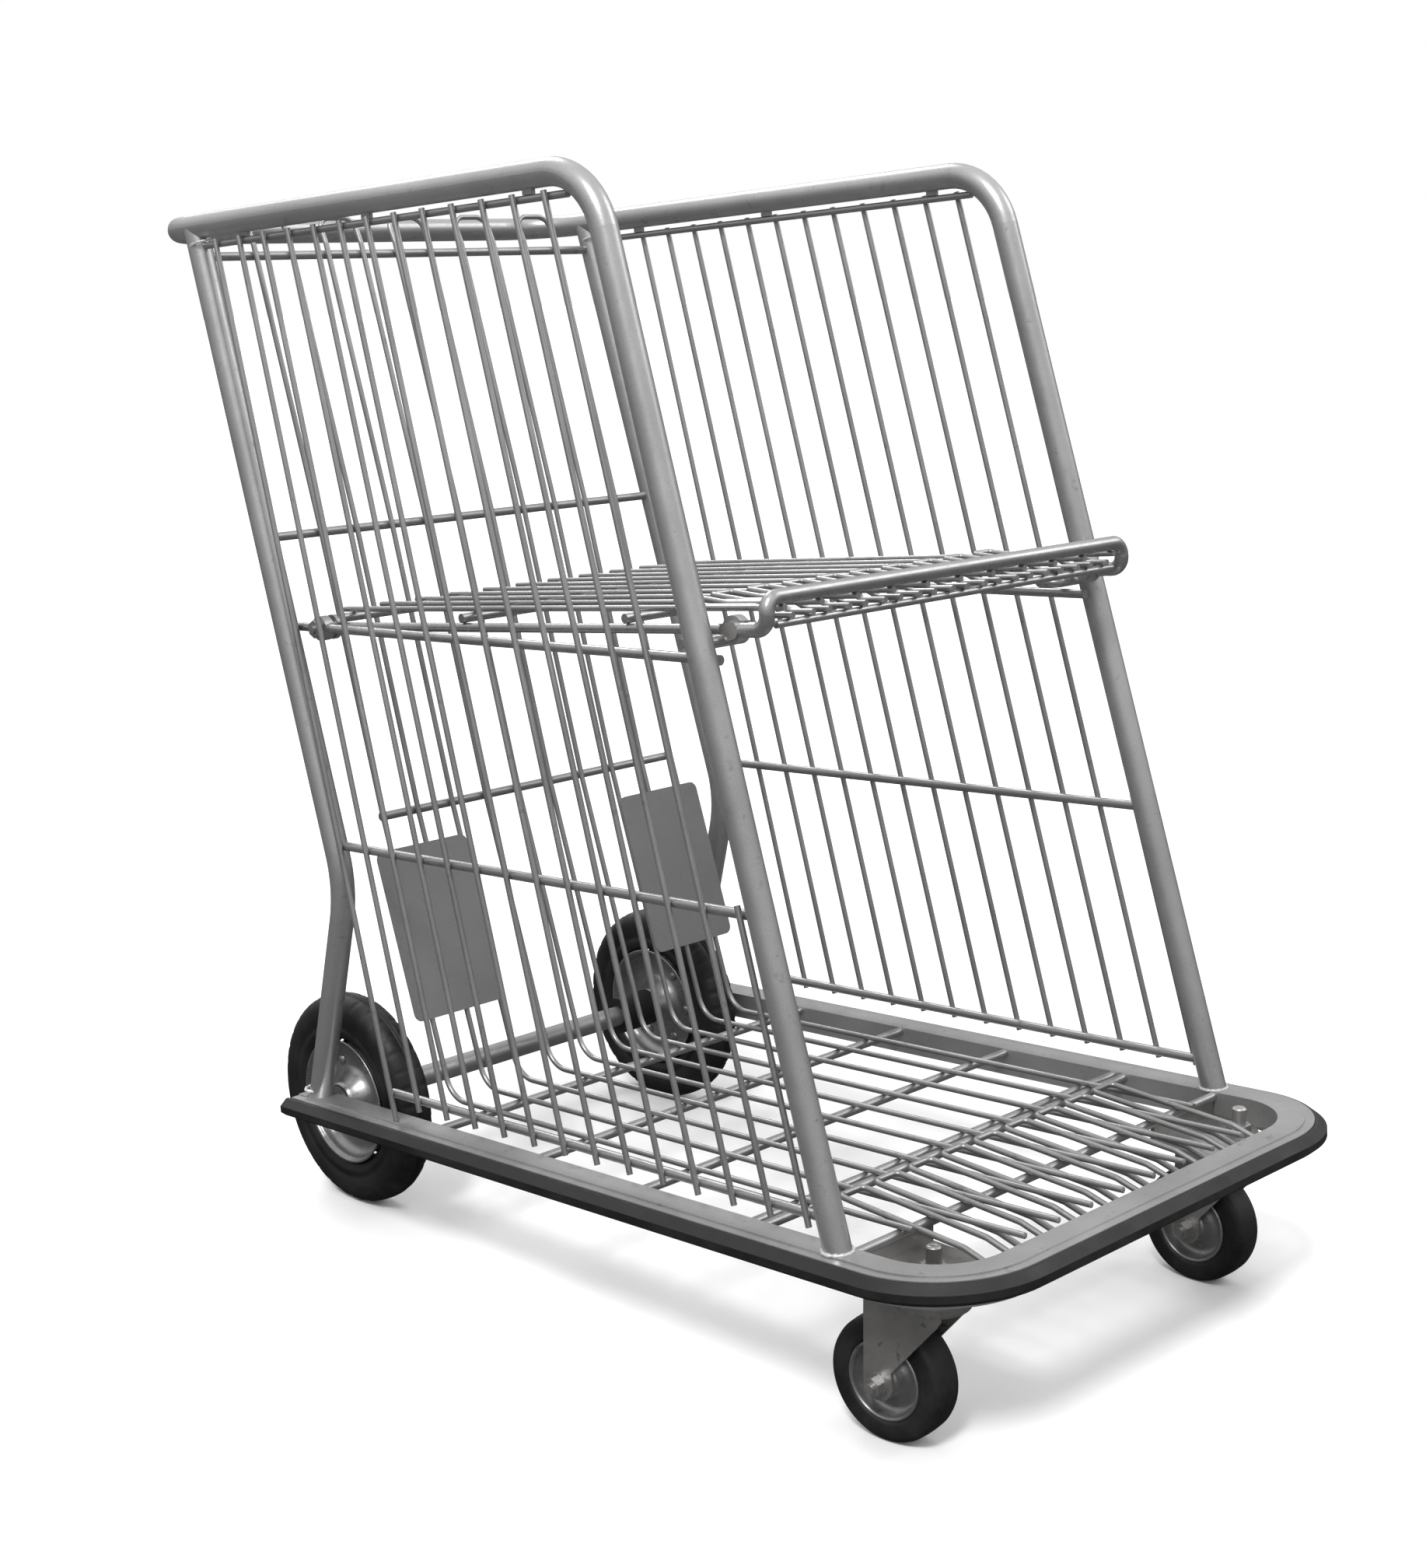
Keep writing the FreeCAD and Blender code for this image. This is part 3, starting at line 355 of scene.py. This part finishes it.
EDGE_ROUNDING = {
    "base_channel": 0.7, "bumper_strip": 1.6, "back_plates": 0.5, "caster_plates": 0.6,
    "caster_nuts": 0.7, "pivot_nuts": 0.6, "caster_washers": 0.3, "strip_tabs": 0.4,
    "shelf_arms": 0.6, "shelf_rivets": 0.8, "pivot_bolts": 0.5,
}
for node, width in EDGE_ROUNDING.items():
    soften(frame["nodes"][node], width * MM)
for side in SIDES:
    soften(frame["nodes"]["caster_fork_" + side], 0.8 * MM)
    soften(frame["nodes"]["caster_bolt_nut_" + side], 0.5 * MM)
    soften(frame["nodes"]["caster_bolt_" + side], 0.5 * MM)
for node in ("shelf_wires", "side_wires_left", "side_wires_right", "floor_cross_rods", "shelf_cross_rods",
             "side_rods_left", "side_rods_right", "floor_wires", "floor_fingers", "shelf_hairpins"):
    soften(frame["nodes"][node], 0.4 * MM, 1, 60.0)


# ------------------------------------------------------------------ rear wheels
def tyre_profile(radius, half, seat):
    """Sidewall with two moulded rings, rounded shoulder, crown with two grooves."""
    right = [(half - 4.5 * MM, seat), (half - 2.5 * MM, seat + 3 * MM), (half - 0.6 * MM, seat + 7 * MM),
             (half, seat + 10 * MM), (half - 0.8 * MM, seat + 11 * MM), (half - 0.8 * MM, seat + 15 * MM),
             (half, seat + 16 * MM)]
    shoulder = 15 * MM
    for k in range(0, 7):
        a = math.radians(12 + 13 * k)
        right.append((half - shoulder + shoulder * math.cos(a), radius - shoulder + shoulder * math.sin(a)))
    groove = 1.4 * MM
    crown = [
        (2.6 * MM, radius), (2.0 * MM, radius - groove),
        (0.9 * MM, radius - groove), (0.6 * MM, radius),
    ]
    right = [p for p in right if p[0] > 3.0 * MM] + crown
    return right + [(-x, r) for x, r in right[::-1]]


def build_rear_wheel(side):
    body = "rear_wheel_" + side
    c = centre_of("rear_tyre_" + side)
    whole = size_of("rear_tyre_" + side)
    radius, half = whole.z / 2.0, whole.x / 2.0
    rim_edge = size_of("rear_rim_outer_" + side).z / 2.0
    seat = rim_edge + 0.2 * MM

    def shoulder_blocks(a, along, r):
        near_edge = 5 * MM < abs(along) < half - 1 * MM and r > radius - 7 * MM
        return -0.9 * MM if near_edge and (a * 36 / math.pi) % 2.0 < 0.5 else 0.0

    bm = bmesh.new()
    lathe(bm, tyre_profile(radius, half, seat), c, (1, 0, 0), 288, shoulder_blocks)
    tyre = add_piece("tyre_moulding_" + side, bm, MATS["tyre_rubber"], body)
    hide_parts("rear_tyre_" + side)

    hub_half = size_of("rear_rim_outer_" + side).x
    for face, toward in (("outer", HAND[side]), ("inner", -HAND[side])):
        t = 1.8 * MM
        front = [(half - 1.0 * MM, rim_edge), (half - 0.3 * MM, rim_edge - 1.0 * MM),
                 (half - 1.2 * MM, rim_edge - 2.6 * MM), (half - 4 * MM, rim_edge - 3.4 * MM),
                 (8 * MM, rim_edge - 5.0 * MM), (4 * MM, rim_edge - 7.5 * MM),
                 (2.4 * MM, rim_edge - 12 * MM),
                 (2.0 * MM, rim_edge - 18 * MM), (2.0 * MM, 31 * MM), (3.2 * MM, 28 * MM), (7 * MM, 25 * MM),
                 (12 * MM, 21.5 * MM), (17 * MM, 19 * MM), (hub_half - 0.5 * MM, 17.6 * MM),
                 (hub_half, 16.6 * MM)]
        back = [(x - t, r) if x < half - 5 * MM else (x - t, r - t * 0.6) for x, r in front[::-1]]
        back[0] = (hub_half, 15.2 * MM)
        profile = [(max(x, 0.0) * toward, r) for x, r in front + back]
        bm = bmesh.new()
        lathe(bm, profile, c, (1, 0, 0), 128)
        bmesh.ops.recalc_face_normals(bm, faces=bm.faces)
        disc = add_piece("pressed_disc_%s_%s" % (face, side), bm, MATS["rim_zinc"], body)
        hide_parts("rear_rim_%s_%s" % (face, side))

    bm = bmesh.new()
    ring = 38 * MM
    for k in range(6):
        a = 2 * math.pi * k / 6
        spot = c + Vector((0, ring * math.cos(a), ring * math.sin(a)))
        for toward in (1, -1):
            dome(bm, spot + Vector((toward * 1.9 * MM, 0, 0)), (toward, 0, 0), 5.0 * MM, 3.0 * MM)
    heads = add_piece("rivet_heads_" + side, bm, MATS["rim_zinc"], body)
    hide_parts("rear_rivets_" + side)


for side in SIDES:
    build_rear_wheel(side)


# ------------------------------------------------------------------ front casters
def build_caster(side):
    wheel = "caster_wheel_" + side
    spin = JOINTS["caster_spin_" + side]
    c = Vector(spin["pos_m"])
    axis = Vector(spin["axis"])
    radius = size_of("caster_tread_" + side).z / 2.0
    half = 15 * MM
    seat = size_of("caster_rim_" + side).z / 2.0
    right = [(half - 0.2 * MM, seat), (half - 0.2 * MM, seat + 4 * MM), (half, seat + 5 * MM),
             (half, radius - 6 * MM), (half - 0.8 * MM, radius - 3.2 * MM),
             (half - 2.6 * MM, radius - 1.2 * MM),
             (half - 5 * MM, radius - 0.4 * MM), (3 * MM, radius)]
    bm = bmesh.new()
    lathe(bm, right + [(-x, r) for x, r in right[::-1]], c, axis, 128)
    bmesh.ops.recalc_face_normals(bm, faces=bm.faces)
    tread = add_piece("tread_moulding_" + side, bm, MATS["tread_rubber"], wheel)
    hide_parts("caster_tread_" + side)

    hub = 17.6 * MM
    right = [(half + 0.2 * MM, seat - 0.2 * MM), (half + 0.8 * MM, seat - 1.2 * MM),
             (half + 0.2 * MM, seat - 2.4 * MM), (half - 2 * MM, seat - 3.0 * MM), (7 * MM, seat - 4.5 * MM),
             (5 * MM, seat - 8 * MM), (5.5 * MM, 19 * MM), (9 * MM, 15.5 * MM), (14 * MM, 13.2 * MM),
             (hub, 12 * MM), (hub, 7.2 * MM)]
    bm = bmesh.new()
    lathe(bm, right + [(-x, r) for x, r in right[::-1]], c, axis, 96)
    bmesh.ops.recalc_face_normals(bm, faces=bm.faces)
    rim = add_piece("pressed_centre_" + side, bm, MATS["rim_zinc"], wheel)
    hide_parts("caster_rim_" + side)

    head = JOINTS["caster_swivel_" + side]
    x, y = head["pos_m"][:2]
    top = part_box("caster_fork_" + side)[1][2]
    bm = bmesh.new()
    edge = [
        (0.2 * MM, 28 * MM), (1.2 * MM, 28.6 * MM), (0.4 * MM, 29.4 * MM),
        (-3 * MM, 29.6 * MM), (-9 * MM, 28.6 * MM), (-9 * MM, 28 * MM),
    ]
    lathe(bm, edge, (x, y, top), (0, 0, 1), 72)
    bmesh.ops.recalc_face_normals(bm, faces=bm.faces)
    add_piece("race_lip_" + side, bm, MATS["zinc"], "caster_fork_" + side)


for side in SIDES:
    build_caster(side)


def build_studs():
    """Cut threads on the two caster studs above their plates."""
    bm = bmesh.new()
    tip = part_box("caster_studs")[1][2]
    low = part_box("caster_nuts")[1][2]
    pitch = 1.6 * MM
    for side in SIDES:
        x, y = JOINTS["caster_swivel_" + side]["pos_m"][:2]
        z = low - 1.0 * MM
        profile = [(z, 4.0 * MM)]
        while z < tip - 2.2 * MM:
            profile += [(z, 5.5 * MM), (z + pitch / 2, 6.15 * MM)]
            z += pitch
        profile += [(tip - 1.2 * MM, 5.7 * MM), (tip + 0.05 * MM, 4.9 * MM), (tip + 0.05 * MM, 0.4 * MM),
                    (low - 1.0 * MM, 0.4 * MM)]
        lathe(bm, [(a, r) for a, r in profile], (x, y, 0), (0, 0, 1), 40)
    bmesh.ops.recalc_face_normals(bm, faces=bm.faces)
    add_piece("stud_threads", bm, MATS["zinc"], "frame")


build_studs()


# ------------------------------------------------------------------ welds
def build_welds():
    rng = random.Random(7)
    bm = bmesh.new()
    tilt = math.radians(DECK_TILT)
    square = Vector((0, math.sin(tilt), math.cos(tilt)))
    tube_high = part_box("main_tube")[1]
    foot_x = tube_high[0] - TUBE_R
    for s in (1, -1):
        front = Vector((s * foot_x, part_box("main_tube")[0][1] + 11.5 * MM, FOOT_HEIGHT))
        weld_bead(bm, front, square, 11.4 * MM, 2.2 * MM, rng)
        low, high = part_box("rear_upright_left" if s > 0 else "rear_upright_right")
        back = low[2] + 0.6 * MM
        rear_y = 296.4 * MM
        weld_bead(bm, Vector((s * foot_x, rear_y, back + 6.0 * MM)), square, 11.6 * MM, 2.0 * MM, rng)
        top = Vector((s * 233.4 * MM, high[1] - 19 * MM, high[2] - 14 * MM))
        weld_bead(bm, top, Vector((0, 0.3, 1)), 11.2 * MM, 1.6 * MM, rng)
    add_piece("foot_welds", bm, WELD, "frame")


build_welds()


# ------------------------------------------------------------------ studio
def build_studio():
    """Plain pale floor and paper-white surroundings, lit evenly by suns and a graded sky."""
    floor_z = cad_box[0][2]
    bm = bmesh.new()
    reach = 30.0
    square = ((-1, -1), (1, -1), (1, 1), (-1, 1))
    corners = [bm.verts.new((x * reach, y * reach, floor_z)) for x, y in square]
    bm.faces.new(corners)
    mesh = bpy.data.meshes.new("studio_floor")
    bm.to_mesh(mesh)
    bm.free()
    floor = bpy.data.objects.new("studio_floor", mesh)
    bpy.context.scene.collection.objects.link(floor)
    paper = bpy.data.materials.new("studio_paper")
    paper.use_nodes = True
    surface = paper.node_tree.nodes["Principled BSDF"]
    surface.inputs["Base Color"].default_value = (0.92, 0.92, 0.92, 1)
    surface.inputs["Roughness"].default_value = 1.0
    surface.inputs["Specular IOR Level"].default_value = 0.0
    mesh.materials.append(paper)
    floor.visible_glossy = False

    world = bpy.data.worlds.new("studio_world")
    bpy.context.scene.world = world
    world.use_nodes = True
    tree = world.node_tree
    back = tree.nodes["Background"]
    way = tree.nodes.new("ShaderNodeTexCoord")
    split = tree.nodes.new("ShaderNodeSeparateXYZ")
    tree.links.new(way.outputs["Generated"], split.inputs[0])
    ramp = tree.nodes.new("ShaderNodeValToRGB")
    stops = ((0.0, 0.05), (0.44, 0.07), (0.50, 0.22), (0.60, 0.42), (0.74, 0.95), (1.0, 1.2))
    ramp.color_ramp.elements[0].position = stops[0][0]
    ramp.color_ramp.elements[0].color = (stops[0][1],) * 3 + (1,)
    ramp.color_ramp.elements[1].position = stops[-1][0]
    ramp.color_ramp.elements[1].color = (stops[-1][1],) * 3 + (1,)
    for spot, value in stops[1:-1]:
        ramp.color_ramp.elements.new(spot).color = (value,) * 3 + (1,)
    tree.links.new(spread(tree, split.outputs["Z"], -1.0, 1.0), ramp.inputs[0])
    seen = tree.nodes.new("ShaderNodeLightPath")
    paper_white = mix_colour(tree, seen.outputs["Is Camera Ray"], ramp.outputs[0], (1.0, 1.0, 1.0, 1))
    tree.links.new(paper_white, back.inputs["Color"])
    back.inputs["Strength"].default_value = 1.0

    for name, turn, power, softness in (("key_sun", (38, 0, -62), 1.9, 12),
                                        ("fill_sun", (55, 0, 60), 0.5, 30),
                                        ("back_sun", (-50, 0, -20), 0.7, 20)):
        lamp = bpy.data.lights.new(name, "SUN")
        lamp.energy = power
        lamp.angle = math.radians(softness)
        obj = bpy.data.objects.new(name, lamp)
        obj.rotation_euler = [math.radians(a) for a in turn]
        bpy.context.scene.collection.objects.link(obj)


def build_camera():
    lens = bpy.data.cameras.new("camera")
    lens.sensor_width = 36.0
    lens.lens = 54.985
    lens.clip_end = 60.0
    camera = bpy.data.objects.new("camera", lens)
    camera.location = (-1.44074, -1.48594, 0.87373)
    camera.rotation_euler = Euler([math.radians(a) for a in (77.438, 1.068, -44.192)], "XYZ")
    bpy.context.scene.collection.objects.link(camera)
    bpy.context.scene.camera = camera


build_studio()
build_camera()
bpy.context.scene.view_settings.view_transform = "Standard"
